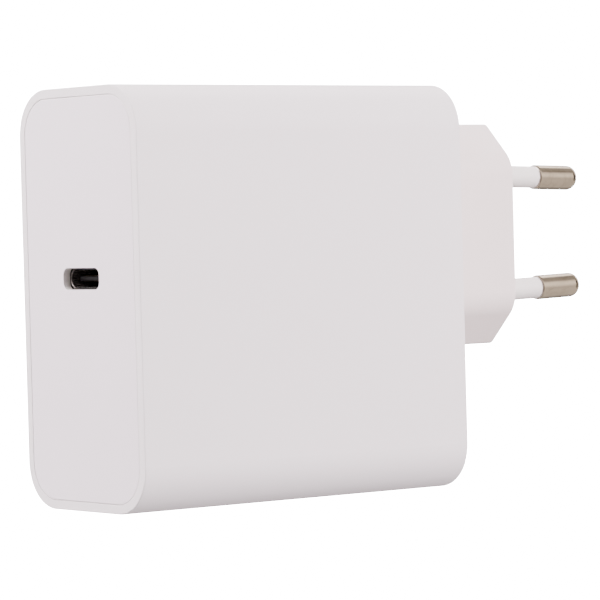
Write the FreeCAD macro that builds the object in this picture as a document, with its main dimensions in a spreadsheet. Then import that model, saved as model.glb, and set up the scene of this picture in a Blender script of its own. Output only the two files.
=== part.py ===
import FreeCAD, Part
import math
import os
import re

import Sketcher

# Wall-plug power adapter with one USB-C outlet: a deep rounded case that carries a two-pin plug foot.
# Millimetres. +X points along the plug pins, +Z up, and the origin lies under the middle of the
# overall length, on the level that the case stands on.

SIZES = {
    # case, a rounded rectangle drawn out along X
    "case_depth": 61.1,
    "case_thick": 30.5,
    "case_height": 62.6,
    "case_radius": 6.9,
    "case_wall": 2.2,
    "rear_wall": 2.2,
    "edge_round": 0.15,
    # port plate, set flush into the open end of the case, with a fine joint line round it
    "rim_wall": 1.4,
    "groove_width": 0.03,
    "plate_thick": 1.2,
    "plate_round": 0.2,
    "lip_gap": 0.15,
    "lip_wall": 1.0,
    "lip_depth": 2.0,
    "port_rise": 3.06,
    "port_width": 9.3,
    "port_height": 3.2,
    "port_round": 1.1,
    "port_offset": 0.2,
    # plug foot, the flat body of a two-pin plug
    "foot_top_gap": 5.8,
    "foot_length": 18.05,
    "foot_height": 35.3,
    "foot_thick": 13.7,
    "foot_end_flat": 1.4,
    "foot_round": 5.0,
    "foot_end_round": 1.3,
    "foot_front_round": 0.15,
    "foot_gap": 0.1,
    "flange_thick": 1.5,
    "flange_reach": 1.6,
    "core_height": 9.0,
    "core_thick": 8.0,
    "core_front": 3.0,
    # pins and their sleeves, which lean towards each other
    "pin_length": 19.0,
    "pin_radius": 2.0,
    "pin_round": 1.5,
    "pin_edge": 0.35,
    "pin_core": 1.4,
    "pin_spacing": 18.6,
    "pin_tip_spacing": 17.5,
    "pin_gap": 0.05,
    "pin_lock": 2.0,
    "tail_radius": 1.0,
    "tail_length": 1.6,
    "sleeve_radius": 1.75,
    "sleeve_length": 10.3,
    # contact strips between the pins and the main board
    "strip_thick": 0.4,
    "strip_width": 5.0,
    "strip_gap": 0.05,
    "strip_end": 0.8,
    # main board and the ribs that it lies on
    "board_thick": 1.6,
    "board_gap": 0.3,
    "solder_space": 1.8,
    "rib_thick": 1.2,
    "rib_hold": 1.2,
    "rib_gap": 0.05,
    # heat plate and insulating sheets on the case's flat inner sides
    "heat_plate_thick": 1.0,
    "sheet_thick": 0.4,
    "sheet_gap": 0.4,
    # USB-C receptacle and its board
    "usb_inner_width": 8.34,
    "usb_inner_height": 2.56,
    "usb_round": 1.2,
    "usb_wall": 0.3,
    "usb_rim_round": 0.12,
    "usb_length": 7.4,
    "usb_gap": 0.05,
    "usb_block_length": 2.6,
    "usb_block_gap": 0.02,
    "tongue_width": 6.69,
    "tongue_thick": 0.7,
    "tongue_inset": 0.9,
    "tongue_round": 0.2,
    "tongue_edge": 0.15,
    "contact_pitch": 0.5,
    "contact_width": 0.25,
    "contact_length": 3.4,
    "contact_thick": 0.08,
    "port_board_thick": 1.0,
    "port_board_length": 12.6,
    "port_board_side": 2.4,
    "port_board_inset": 0.6,
    "port_chip_size": 3.6,
    "port_chip_height": 0.9,
    "chip_gap": 0.5,
    # mains column
    "choke_diameter": 12.0,
    "choke_bore": 5.6,
    "choke_width": 3.6,
    "wire_layer": 0.9,
    "wire_gap": 0.05,
    "winding_angle": 130.0,
    "base_thick": 1.2,
    "filter_width": 10.0,
    "filter_thick": 5.5,
    "filter_height": 11.0,
    "varistor_diameter": 8.5,
    "varistor_thick": 3.8,
    "thermistor_diameter": 7.5,
    "thermistor_thick": 4.0,
    "fuse_width": 6.5,
    "fuse_thick": 4.0,
    "fuse_height": 8.0,
    "lead_thick": 0.6,
    "lead_height": 2.0,
    # storage column
    "bulk_radius": 5.0,
    "bulk_height": 17.0,
    "crimp_level": 2.0,
    "crimp_depth": 0.4,
    "can_round": 0.5,
    "bridge_width": 11.0,
    "bridge_thick": 3.6,
    "bridge_height": 10.0,
    # transformer column
    "ferrite_width": 17.0,
    "ferrite_length": 20.0,
    "ferrite_depth": 10.0,
    "ferrite_leg": 6.0,
    "ferrite_side": 2.3,
    "ferrite_yoke": 3.0,
    "bobbin_wall": 0.7,
    "bobbin_flange": 1.0,
    "bobbin_gap": 0.15,
    "bobbin_foot": 1.5,
    "tape_thick": 0.2,
    "transistor_width": 10.0,
    "transistor_thick": 4.4,
    "transistor_height": 12.0,
    "sink_width": 14.0,
    "sink_thick": 1.5,
    "sink_height": 15.0,
    "screw_radius": 1.5,
    "screw_head_radius": 2.7,
    "screw_head_thick": 1.6,
    "screw_level": 9.5,
    "screw_gap": 0.05,
    "coupler_width": 4.6,
    "coupler_length": 6.4,
    "coupler_height": 3.4,
    "safety_diameter": 7.0,
    "safety_thick": 3.4,
    "control_width": 4.0,
    "control_length": 5.0,
    "control_height": 1.5,
    # output column
    "output_radius": 4.0,
    "output_height": 12.0,
    "rectifier_width": 8.0,
    "rectifier_thick": 3.0,
    "rectifier_height": 9.0,
    "output_sink_width": 9.5,
    "output_sink_thick": 1.5,
    "output_sink_height": 12.0,
}

CONTACTS_PER_ROW = 12
BULK_CAPACITORS = 3
OUTPUT_CAPACITORS = 2

X_AXIS = FreeCAD.Vector(1, 0, 0)
Y_AXIS = FreeCAD.Vector(0, 1, 0)
Z_AXIS = FreeCAD.Vector(0, 0, 1)

os.makedirs("parts", exist_ok=True)
doc = FreeCAD.newDocument("PowerAdapter")
sizes = doc.addObject("Spreadsheet::Sheet", "Sizes")
for row, (alias, amount) in enumerate(SIZES.items(), 1):
    sizes.set(f"A{row}", alias)
    sizes.set(f"B{row}", str(amount))
    sizes.setAlias(f"B{row}", alias)
layout = doc.addObject("App::VarSet", "Layout")
probe = doc.addObject("App::VarSet", "Probe")
probe.addProperty("App::PropertyFloat", "present", "Probe")
doc.recompute()

derived = set()
parts = []


def bound(text):
    """The expression with each size's name led back to the sheet or to the layout."""
    def lead(match):
        word = match.group(0)
        if word in SIZES:
            return "Sizes." + word
        if word in derived:
            return "Layout." + word
        return word
    return re.sub(r"[a-z][a-z_0-9]*", lead, str(text))


def derive(name, text):
    """Keeps a size that follows from others in the layout, and returns its name."""
    layout.addProperty("App::PropertyFloat", name, "Layout")
    layout.setExpression(name, bound(text))
    derived.add(name)
    layout.recompute()
    return name


def value(text):
    """The present value of an expression."""
    probe.setExpression("present", bound(text))
    probe.recompute()
    return probe.present


def bind(item, **texts):
    """Ties properties of an object to expressions."""
    for name, text in texts.items():
        item.setExpression(name, bound(text))
    return item


def place(item, along="0", across="0", level="0"):
    """Ties an object's position to expressions."""
    item.setExpression("Placement.Base.x", bound(along))
    item.setExpression("Placement.Base.y", bound(across))
    item.setExpression("Placement.Base.z", bound(level))
    return item


def turn(item, axis, degrees):
    """Points an object another way: the angle is an expression."""
    item.Placement = FreeCAD.Placement(FreeCAD.Vector(), FreeCAD.Rotation(axis, value(degrees)))
    item.setExpression("Placement.Rotation.Angle", bound(degrees))
    return item


def block(name, along, across, level, length, width, height):
    """A rectangular block from its lowest corner and its three sizes."""
    item = doc.addObject("Part::Box", name)
    bind(item, Length=length, Width=width, Height=height)
    return place(item, along, across, level)


def rod(name, radius, height):
    """A round bar on its own Z axis."""
    item = doc.addObject("Part::Cylinder", name)
    return bind(item, Radius=radius, Height=height)


def cut(name, base, tool):
    item = doc.addObject("Part::Cut", name)
    item.Base = base
    item.Tool = tool
    return item


def fuse(name, *pieces):
    item = doc.addObject("Part::MultiFuse", name)
    item.Shapes = list(pieces)
    return item


def new_body(name):
    return doc.addObject("PartDesign::Body", name)


def new_sketch(body, role, name):
    """A sketch on one of the body's own origin planes."""
    sketch = body.newObject("Sketcher::SketchObject", name)
    plane = next(item for item in body.Origin.OriginFeatures if item.Role == role)
    sketch.AttachmentSupport = [(plane, "")]
    sketch.MapMode = "FlatFace"
    return sketch


def dimension(sketch, kind, *ends, text):
    """Adds a dimension and ties it to an expression."""
    index = sketch.addConstraint(Sketcher.Constraint(kind, *ends, value(text)))
    sketch.setExpression(f"Constraints[{index}]", bound(text))


def polygon(sketch, corners):
    """Draws a closed outline whose corners are pairs of expressions."""
    count = len(corners)
    points = [FreeCAD.Vector(value(first), value(second), 0) for first, second in corners]
    for number in range(count):
        sketch.addGeometry(Part.LineSegment(points[number], points[(number + 1) % count]), False)
    for number in range(count):
        sketch.addConstraint(Sketcher.Constraint("Coincident", number, 2, (number + 1) % count, 1))
    for number, (first, second) in enumerate(corners):
        dimension(sketch, "DistanceX", -1, 1, number, 1, text=first)
        dimension(sketch, "DistanceY", -1, 1, number, 1, text=second)


def rounded_rectangle(sketch, width, height, radius, level="0"):
    """Draws a rectangle with round corners, its middle on the sketch's Y axis."""
    first = sketch.GeometryCount
    low, top = value(f"{level} - ({height}) / 2"), value(f"{level} + ({height}) / 2")
    side, bend = value(f"({width}) / 2"), value(radius)
    starts = [(bend - side, low), (side, low + bend), (side - bend, top), (-side, top - bend)]
    ends = [(side - bend, low), (side, top - bend), (bend - side, top), (-side, low + bend)]
    for start, end in zip(starts, ends):
        line = Part.LineSegment(FreeCAD.Vector(*start, 0), FreeCAD.Vector(*end, 0))
        sketch.addGeometry(line, False)
    centres = [(side - bend, low + bend), (side - bend, top - bend), (bend - side, top - bend),
               (bend - side, low + bend)]
    for number, centre in enumerate(centres):
        circle = Part.Circle(FreeCAD.Vector(*centre, 0), Z_AXIS, bend)
        start = math.radians(90 * number - 90)
        sketch.addGeometry(Part.ArcOfCircle(circle, start, start + math.pi / 2), False)
    for number in range(4):
        line, arc, following = first + number, first + 4 + number, first + (number + 1) % 4
        sketch.addConstraint(Sketcher.Constraint("Tangent", line, 2, arc, 1))
        sketch.addConstraint(Sketcher.Constraint("Tangent", arc, 2, following, 1))
        sketch.addConstraint(Sketcher.Constraint("Vertical" if number % 2 else "Horizontal", line))
        if number:
            sketch.addConstraint(Sketcher.Constraint("Equal", first + 4, arc))
    dimension(sketch, "Radius", first + 4, text=radius)
    dimension(sketch, "DistanceX", first + 3, 1, first + 1, 1, text=width)
    dimension(sketch, "DistanceY", first, 1, first + 2, 1, text=height)
    dimension(sketch, "DistanceX", -1, 1, first + 1, 1, text=f"({width}) / 2")
    dimension(sketch, "DistanceY", -1, 1, first + 2, 1, text=f"{level} + ({height}) / 2")


def pad(body, sketch, length, name):
    item = body.newObject("PartDesign::Pad", name)
    item.Profile = sketch
    return bind(item, Length=length)


def pocket(body, sketch, length, name):
    """Cuts from the sketch's plane along +X, and checks that material went."""
    body.recompute(True)
    before = body.Shape.Volume
    item = body.newObject("PartDesign::Pocket", name)
    item.Profile = sketch
    item.Reversed = True
    bind(item, Length=length)
    body.recompute(True)
    if not item.Shape.Volume < before:
        raise RuntimeError(name + " cuts nothing")
    return item


def fillet(body, radius, wanted, name):
    """Rounds the edges of the body's last feature that the wanted function picks."""
    body.recompute(True)
    last = body.Tip
    picked = [f"Edge{number}" for number, edge in enumerate(last.Shape.Edges, 1) if wanted(edge)]
    if not picked:
        raise RuntimeError(name + " finds no edge")
    item = body.newObject("PartDesign::Fillet", name)
    item.Base = (last, picked)
    return bind(item, Radius=radius)


def is_near(edge, points):
    """Tells whether an edge's middle lies on one of the (across, level) places, seen along X."""
    box = edge.BoundBox
    middle = box.Center
    along_x = box.YLength < 0.01 and box.ZLength < 0.01
    return along_x and any(math.hypot(middle.y - y, middle.z - z) < 0.01 for y, z in points)


def foot_section(body, grow, level, name):
    """Draws the plug foot's eight-sided cross-section, wider by grow on each side."""
    sketch = new_sketch(body, "YZ_Plane", name)
    side = f"(foot_thick / 2 + {grow})"
    end = f"(foot_height / 2 + {grow})"
    slant = f"(foot_bevel + {grow} * (2 - sqrt(2)))"
    turns = [("", "-", side, f"({end} - {slant})"), ("", "", side, f"({end} - {slant})"),
             ("", "", f"({side} - {slant})", end), ("-", "", f"({side} - {slant})", end),
             ("-", "", side, f"({end} - {slant})"), ("-", "-", side, f"({end} - {slant})"),
             ("-", "-", f"({side} - {slant})", end), ("", "-", f"({side} - {slant})", end)]
    corners = [(left + first, f"{level} + {below}1 * {second}") for left, below, first, second in turns]
    polygon(sketch, corners)
    return sketch, [(value(first), value(second)) for first, second in corners]


def round_foot_corners(body, grow, corners, name):
    """Rounds the cross-section's corners: wide ones beside the flats, tighter ones at both ends."""
    flats = [corners[number] for number in (0, 1, 4, 5)]
    ends = [corners[number] for number in (2, 3, 6, 7)]
    fillet(body, f"foot_round + {grow}", lambda edge: is_near(edge, flats), name + "_flats")
    fillet(body, f"foot_end_round + {grow}", lambda edge: is_near(edge, ends), name + "_ends")


def turned(name, profile):
    """A body turned about its own X axis from (distance along, radius) pairs."""
    body = new_body(name)
    sketch = new_sketch(body, "XY_Plane", name + "_profile")
    polygon(sketch, profile)
    item = body.newObject("PartDesign::Revolution", name + "_turn")
    item.Profile = sketch
    item.ReferenceAxis = (sketch, ["H_Axis"])
    item.Angle = 360.0
    return body


def spread(name, start, end, lengths):
    """Sets pieces in a row with equal gaps between start and end, and returns where each one begins."""
    total = " + ".join(f"({length})" for length in lengths)
    gap = derive(f"{name}_gap", f"(({end}) - ({start}) - ({total})) / {len(lengths) + 1}")
    begins = []
    at = start
    for number, length in enumerate(lengths, 1):
        begins.append(derive(f"{name}_{number}", f"{at} + {gap}"))
        at = f"{begins[-1]} + {length}"
    return begins


def inner_reach(inset, across):
    """Half the height inside a surface that lies inset from the case's outside, at a place across it."""
    past_bend = f"max(0; {across} - (case_thick / 2 - case_radius))"
    return f"(case_height / 2 - case_radius + sqrt((case_radius - {inset})^2 - {past_bend}^2))"


# Places along X: the port face, the rear wall, the plug foot's face and the contact strips.
derive("port_x", "-(case_depth + foot_length + pin_length) / 2")
derive("rear_x", "port_x + case_depth")
derive("rear_inside_x", "rear_x - rear_wall")
derive("flange_x", "rear_inside_x - flange_thick")
derive("plug_x", "rear_x + foot_length")
derive("strip_x", "flange_x - strip_gap - strip_thick")
derive("board_x", "port_x + plate_thick + lip_depth + board_gap")
derive("board_end_x", "strip_x - board_gap")

# Places across the case: the main board lies near the +Y side and its pieces point towards -Y.
derive("inside_y", "case_thick / 2 - case_wall")
derive("board_back_y", "inside_y - solder_space")
derive("board_y", "board_back_y - board_thick")
derive("sheet_y", "heat_plate_thick + sheet_thick - inside_y")

# Levels: the middle of the case, the outlet, the plug foot, the main board and the flat inner sides.
derive("middle_z", "case_height / 2")
derive("port_level", "middle_z + port_rise")
derive("foot_level", "case_height - foot_top_gap - foot_height / 2")
derive("foot_bevel", "(foot_thick - foot_end_flat) / 2")
derive("board_reach", inner_reach("case_wall", "board_back_y") + " - board_gap")
derive("board_low_z", "middle_z - board_reach")
derive("board_top_z", "middle_z + board_reach")
derive("row_low_z", "board_low_z + rib_hold")
derive("row_top_z", "board_top_z - rib_hold")
derive("sheet_low_z", "case_radius + sheet_gap")
derive("sheet_height", "case_height - 2 * sheet_low_z")

# Lean of the pins: each axis closes in by pin_lean for each millimetre along X.
derive("pin_lean", "(pin_spacing - pin_tip_spacing) / 2 / pin_length")
derive("pin_root", "foot_length + rear_wall + flange_thick")
derive("sleeve_start", "sleeve_radius * pin_lean")

# Receptacle: outer sizes of its steel shell and the level of the board below it.
derive("usb_width", "usb_inner_width + 2 * usb_wall")
derive("usb_height", "usb_inner_height + 2 * usb_wall")
derive("usb_x", "port_x + plate_thick + usb_gap")
derive("port_board_top_z", "port_level - usb_height / 2")
derive("port_board_low_z", "port_board_top_z - port_board_thick")
derive("port_board_x", "port_x + plate_thick + port_board_inset")

# Transformer: its wire window and half the height of its winding, seen across the case.
derive("window_width", "(ferrite_width - ferrite_leg) / 2 - ferrite_side")
derive("winding_reach", "ferrite_depth / 2 + window_width - bobbin_gap")
derive("transformer_y", "board_y - bobbin_foot - winding_reach")

# Four columns of pieces stand on the main board, from the outlet end to the mains end.
derive("output_length", "max(port_board_x + port_board_length - board_x; 2 * output_radius; output_sink_width)")
derive("power_length", "max(ferrite_width; sink_width; safety_diameter)")
derive("mains_length", "max(filter_thick; varistor_thick; thermistor_thick; fuse_thick; "
                       "choke_width + 2 * wire_layer)")
output_x, power_x, storage_x, mains_x = spread(
    "column", "board_x", "flange_x - tail_length - sheet_gap",
    ["output_length", "power_length", "2 * bulk_radius", "mains_length"])


def main_shell():
    """Case with its closed rear wall, the opening for the plug foot and the ribs for the board."""
    body = new_body("case_body")
    outline = new_sketch(body, "YZ_Plane", "case_outline")
    rounded_rectangle(outline, "case_thick", "case_height", "case_radius")
    pad(body, outline, "case_depth", "case_pad")
    cavity = new_sketch(body, "YZ_Plane", "case_cavity")
    rounded_rectangle(cavity, "case_thick - 2 * case_wall", "case_height - 2 * case_wall",
                      "case_radius - case_wall")
    pocket(body, cavity, "case_depth - rear_wall", "cavity_pocket")
    seat = new_sketch(body, "YZ_Plane", "plate_seat")
    rounded_rectangle(seat, "case_thick - 2 * rim_wall", "case_height - 2 * rim_wall",
                      "case_radius - rim_wall")
    pocket(body, seat, "plate_thick", "seat_pocket")
    window, corners = foot_section(body, "foot_gap", "(foot_level - middle_z)", "foot_window")
    pocket(body, window, "case_depth", "foot_pocket")
    round_foot_corners(body, "foot_gap", corners, "window_rounding")
    fillet(body, "edge_round", is_case_end, "end_rounding")
    place(body, "port_x", "0", "middle_z")
    wall_middle = inner_reach("case_wall / 2", "board_y")
    rib = ("board_end_x - board_x", "rib_thick", f"{wall_middle} - board_reach + rib_hold")
    rib_across = "board_y - rib_gap - rib_thick"
    low = block("rib_low", "board_x", rib_across, f"middle_z - {wall_middle}", *rib)
    top = block("rib_top", "board_x", rib_across, "board_top_z - rib_hold", *rib)
    parts.append(fuse("main_shell", body, low, top))


def is_case_end(edge):
    """Tells whether an edge of the case's body belongs to the outline of one of its two ends."""
    box = edge.BoundBox
    at_end = box.XLength < 0.01 and (abs(box.XMin) < 0.01 or abs(box.XMin - value("case_depth")) < 0.01)
    if not at_end:
        return False
    if hasattr(edge.Curve, "Radius"):
        return abs(edge.Curve.Radius - value("case_radius")) < 0.01
    middle = box.Center
    on_side = abs(abs(middle.y) - value("case_thick / 2")) < 0.01
    return on_side or abs(abs(middle.z) - value("case_height / 2")) < 0.01


def port_plate():
    """End plate with the outlet's opening, a little off the middle, and a lip that steps into the case."""
    body = new_body("port_plate")
    margin = "2 * (rim_wall + groove_width)"
    outline = new_sketch(body, "YZ_Plane", "plate_outline")
    rounded_rectangle(outline, f"case_thick - {margin}", f"case_height - {margin}",
                      "case_radius - rim_wall - groove_width")
    pad(body, outline, "plate_thick", "plate_pad")
    fillet(body, "plate_round", lambda edge: abs(edge.BoundBox.XMax) < 0.01, "plate_rounding")
    opening = new_sketch(body, "YZ_Plane", "plate_opening")
    rounded_rectangle(opening, "port_width", "port_height", "port_round", "(port_level - middle_z)")
    opening.setExpression("AttachmentOffset.Base.x", bound("-port_offset"))
    pocket(body, opening, "plate_thick", "opening_pocket")
    place(body, "port_x", "0", "middle_z")
    lip = new_body("plate_lip")
    ring = new_sketch(lip, "YZ_Plane", "lip_ring")
    for inset in ("(case_wall + lip_gap)", "(case_wall + lip_gap + lip_wall)"):
        rounded_rectangle(ring, f"case_thick - 2 * {inset}", f"case_height - 2 * {inset}",
                          f"case_radius - {inset}")
    pad(lip, ring, "lip_depth", "lip_pad")
    place(lip, "port_x + plate_thick", "0", "middle_z")
    body.Label = "plate_body"
    parts.append(fuse("plate_with_lip", body, lip))
    parts[-1].Label = "port_plate"


def pin_place(item, side):
    """Sets a turned piece on the axis of a pin: side is 1 for the upper pin, -1 for the lower one."""
    turn(item, Y_AXIS, f"{side} * atan(pin_lean)")
    return place(item, "plug_x", "0", f"foot_level + {side} * pin_spacing / 2")


def plug_foot():
    """Plug foot, the flange inside the rear wall that holds it, and the holes for the pins."""
    foot = new_body("foot_body")
    section, corners = foot_section(foot, "0", "0", "foot_outline")
    pad(foot, section, "foot_length + rear_wall", "foot_pad")
    round_foot_corners(foot, "0", corners, "foot_rounding")
    face_x = value("foot_length + rear_wall")
    fillet(foot, "foot_front_round", lambda edge: edge.BoundBox.XMin > face_x - 0.01, "front_rounding")
    place(foot, "rear_inside_x", "0", "foot_level")
    flange = new_body("foot_flange")
    wide, _ = foot_section(flange, "flange_reach", "0", "flange_outline")
    pad(flange, wide, "flange_thick", "flange_pad")
    place(flange, "flange_x", "0", "foot_level")
    core = block("foot_core", "flange_x", "-core_thick / 2", "foot_level - core_height / 2",
                 "pin_root - core_front", "core_thick", "core_height")
    holes = []
    for name, way in (("upper", 1), ("lower", -1)):
        back = "-(pin_root + pin_lock)"
        wide_radius = "pin_radius + pin_gap"
        narrow_radius = "pin_core + pin_gap"
        hole = turned("pin_hole_" + name, [(back, "0"), (back, wide_radius), ("-pin_lock", wide_radius),
                                           ("-pin_lock", narrow_radius), ("pin_lock", narrow_radius),
                                           ("pin_lock", "0")])
        holes.append(pin_place(hole, way))
    solid = fuse("foot_solid", foot, flange)
    parts.append(cut("plug_foot", solid, fuse("foot_holes", core, *holes)))


def pins():
    """Two pins with domed tips, a rounded shoulder, a core under each sleeve, and a tail for the strip."""
    for name, way in (("upper", 1), ("lower", -1)):
        end = "-(pin_root + tail_length)"
        pin = turned("pin_" + name, [(end, "0"), (end, "tail_radius"), ("-pin_root", "tail_radius"),
                                     ("-pin_root", "pin_radius"), ("-pin_lock", "pin_radius"),
                                     ("-pin_lock", "pin_core"), ("sleeve_length", "pin_core"),
                                     ("sleeve_length", "pin_radius"), ("pin_length", "pin_radius"),
                                     ("pin_length", "0")])
        tip = value("pin_length - pin_gap")
        fillet(pin, "pin_round", lambda edge: edge.BoundBox.XMin > tip, pin.Name + "_dome")
        fillet(pin, "pin_edge", is_shoulder, pin.Name + "_shoulder")
        parts.append(pin_place(pin, way))
        inner = "pin_core + pin_gap"
        sleeve = turned("sleeve_" + name, [("sleeve_start", inner), ("sleeve_start", "sleeve_radius"),
                                           ("sleeve_length", "sleeve_radius"), ("sleeve_length", inner)])
        parts.append(pin_place(sleeve, way))


def is_shoulder(edge):
    """Tells whether an edge of a pin's body is the outer one where the bare metal begins."""
    box = edge.BoundBox
    at_step = box.XLength < 0.01 and abs(box.XMin - value("sleeve_length")) < 0.01
    return at_step and abs(box.ZLength - value("2 * pin_radius")) < 0.01


def contact_strips():
    """Brass strips that take the mains from each pin's tail across to the main board."""
    for name, way in (("upper", 1), ("lower", -1)):
        level = f"(foot_level + {way} * (pin_spacing / 2 + pin_root * pin_lean))"
        blank = block(name + "_blank", "strip_x", "-strip_width / 2", f"{level} - strip_width / 2",
                      "strip_thick", "strip_width / 2 + board_back_y + strip_end", "strip_width")
        hole = turn(rod(name + "_hole", "tail_radius + 2 * pin_gap", "3 * strip_thick"), Y_AXIS, "90")
        place(hole, "strip_x - strip_thick", "0", level)
        parts.append(cut("contact_strip_" + name, blank, hole))


def boards():
    """Main board on the case's ribs and the small board under the receptacle."""
    parts.append(block("main_board", "board_x", "board_y", "board_low_z",
                       "board_end_x - board_x", "board_thick", "board_top_z - board_low_z"))
    edge = "(-usb_width / 2 - port_board_side)"
    parts.append(block("port_board", "port_board_x", edge, "port_board_low_z",
                       "port_board_length", f"board_y - {edge}", "port_board_thick"))
    parts.append(block("port_chip", "usb_x + usb_length + chip_gap", "-port_chip_size / 2", "port_board_top_z",
                       "port_chip_size", "port_chip_size", "port_chip_height"))


def receptacle():
    """USB-C receptacle: steel shell, moulded block with its tongue, and two rows of contacts."""
    shell = new_body("usb_shell")
    outside = new_sketch(shell, "YZ_Plane", "usb_outside")
    rounded_rectangle(outside, "usb_width", "usb_height", "usb_round + usb_wall")
    pad(shell, outside, "usb_length", "usb_pad")
    inside = new_sketch(shell, "YZ_Plane", "usb_inside")
    rounded_rectangle(inside, "usb_inner_width", "usb_inner_height", "usb_round")
    pocket(shell, inside, "usb_length", "usb_pocket")
    fillet(shell, "usb_rim_round", lambda edge: edge.BoundBox.XMax < 0.01, "usb_rim")
    parts.append(place(shell, "usb_x", "0", "port_level"))
    filler = new_body("usb_filler")
    section = new_sketch(filler, "YZ_Plane", "usb_section")
    rounded_rectangle(section, "usb_inner_width - 2 * usb_block_gap", "usb_inner_height - 2 * usb_block_gap",
                      "usb_round - usb_block_gap")
    pad(filler, section, "usb_block_length", "filler_pad")
    place(filler, "usb_x + usb_length - usb_block_length", "0", "port_level")
    tongue = new_body("usb_tongue")
    slice_across = new_sketch(tongue, "YZ_Plane", "tongue_section")
    rounded_rectangle(slice_across, "tongue_width", "tongue_thick", "tongue_round")
    pad(tongue, slice_across, "usb_length - tongue_inset - usb_block_length / 2", "tongue_pad")
    fillet(tongue, "tongue_edge", lambda edge: edge.BoundBox.XMax < 0.01, "tongue_front")
    place(tongue, "usb_x + tongue_inset", "0", "port_level")
    parts.append(fuse("usb_block", filler, tongue))
    for name, level in (("upper", "port_level + tongue_thick / 2"),
                        ("lower", "port_level - tongue_thick / 2 - contact_thick")):
        strips = []
        for number in range(CONTACTS_PER_ROW):
            across = f"({number} - {(CONTACTS_PER_ROW - 1) / 2}) * contact_pitch - contact_width / 2"
            strips.append(block(f"contact_{name}_{number + 1}",
                                "usb_x + usb_length - usb_block_length - contact_length", across, level,
                                "contact_length", "contact_width", "contact_thick"))
        row_of_contacts = doc.addObject("Part::Compound", "usb_contacts_" + name)
        row_of_contacts.Links = strips
        parts.append(row_of_contacts)


def heat_path():
    """Heat plate and sheets on the case's flat sides, and the pad between transformer and heat plate."""
    length = "flange_x - sheet_gap - board_x"
    parts.append(block("heat_plate", "board_x", "-inside_y", "sheet_low_z", length,
                       "heat_plate_thick", "sheet_height"))
    parts.append(block("plate_sheet", "board_x", "heat_plate_thick - inside_y", "sheet_low_z", length,
                       "sheet_thick", "sheet_height"))
    parts.append(block("solder_sheet", "board_x", "inside_y - sheet_thick", "sheet_low_z", length,
                       "sheet_thick", "sheet_height"))


def leaded_block(name, along, level, width, thick, height, leads, flat=True):
    """A package that stands above the board on a row of leads; its width runs along X where it is flat."""
    spans = (width, thick) if flat else (thick, width)
    body = block(name + "_case", along, f"board_y - lead_height - {height}", level, spans[0], height, spans[1])
    pieces = [body]
    for number in range(leads):
        share = f"{width} * {(number + 0.5) / leads} - lead_thick / 2"
        side = f"({thick} - lead_thick) / 2"
        shift_x, shift_z = (share, side) if flat else (side, share)
        pieces.append(block(f"{name}_lead_{number + 1}", f"{along} + {shift_x}", "board_y - lead_height",
                            f"{level} + {shift_z}", "lead_thick", "lead_height", "lead_thick"))
    return fuse(name, *pieces)


def disc(name, along, level, diameter, thick, flat):
    """A round disc that stands on two leads, its axis along X, or along Z where flat is true."""
    centre = f"(board_y - lead_height - {diameter} / 2)"
    body = rod(name + "_disc", f"{diameter} / 2", thick)
    if flat:
        place(body, f"{along} + {diameter} / 2", centre, level)
    else:
        place(turn(body, Y_AXIS, "90"), along, centre, f"{level} + {diameter} / 2")
    pieces = [body]
    for number, share in enumerate((0.25, 0.75), 1):
        run = f"{diameter} * {share} - lead_thick / 2"
        side = f"({thick} - lead_thick) / 2"
        shift_x, shift_z = (run, side) if flat else (side, run)
        pieces.append(block(f"{name}_lead_{number}", f"{along} + {shift_x}", centre, f"{level} + {shift_z}",
                            "lead_thick", f"lead_height + {diameter} / 2", "lead_thick"))
    return fuse(name, *pieces)


def can(name, along, level, radius, height):
    """A capacitor can that stands on the board, with the crimp above its rubber seal."""
    crimp = [("crimp_level", radius), ("crimp_level + crimp_depth", f"{radius} - crimp_depth"),
             ("crimp_level + 2 * crimp_depth", radius)]
    body = turned(name, [("0", "0"), ("0", radius), *crimp, (height, radius), (height, "0")])
    top = value(height)
    fillet(body, "can_round", lambda edge: edge.BoundBox.XMin > top - 0.01, name + "_rounding")
    turn(body, Z_AXIS, "-90")
    return place(body, f"{along} + {radius}", "board_y", f"{level} + {radius}")


def mains_column():
    """Mains filter and protection: choke, filter capacitor, varistor, thermistor and fuse."""
    choke, filter_level, varistor, thermistor, fuse_level = spread(
        "mains_row", "row_low_z", "row_top_z",
        ["choke_diameter + 2 * wire_layer", "filter_width", "varistor_diameter", "thermistor_diameter",
         "fuse_width"])
    choke_pieces(choke)
    parts.append(block("filter_capacitor", mains_x, "board_y - filter_height", filter_level,
                       "filter_thick", "filter_height", "filter_width"))
    parts.append(disc("varistor", mains_x, varistor, "varistor_diameter", "varistor_thick", False))
    parts.append(disc("thermistor", mains_x, thermistor, "thermistor_diameter", "thermistor_thick", False))
    parts.append(block("fuse", mains_x, "board_y - fuse_height", fuse_level,
                       "fuse_thick", "fuse_height", "fuse_width"))


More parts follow.
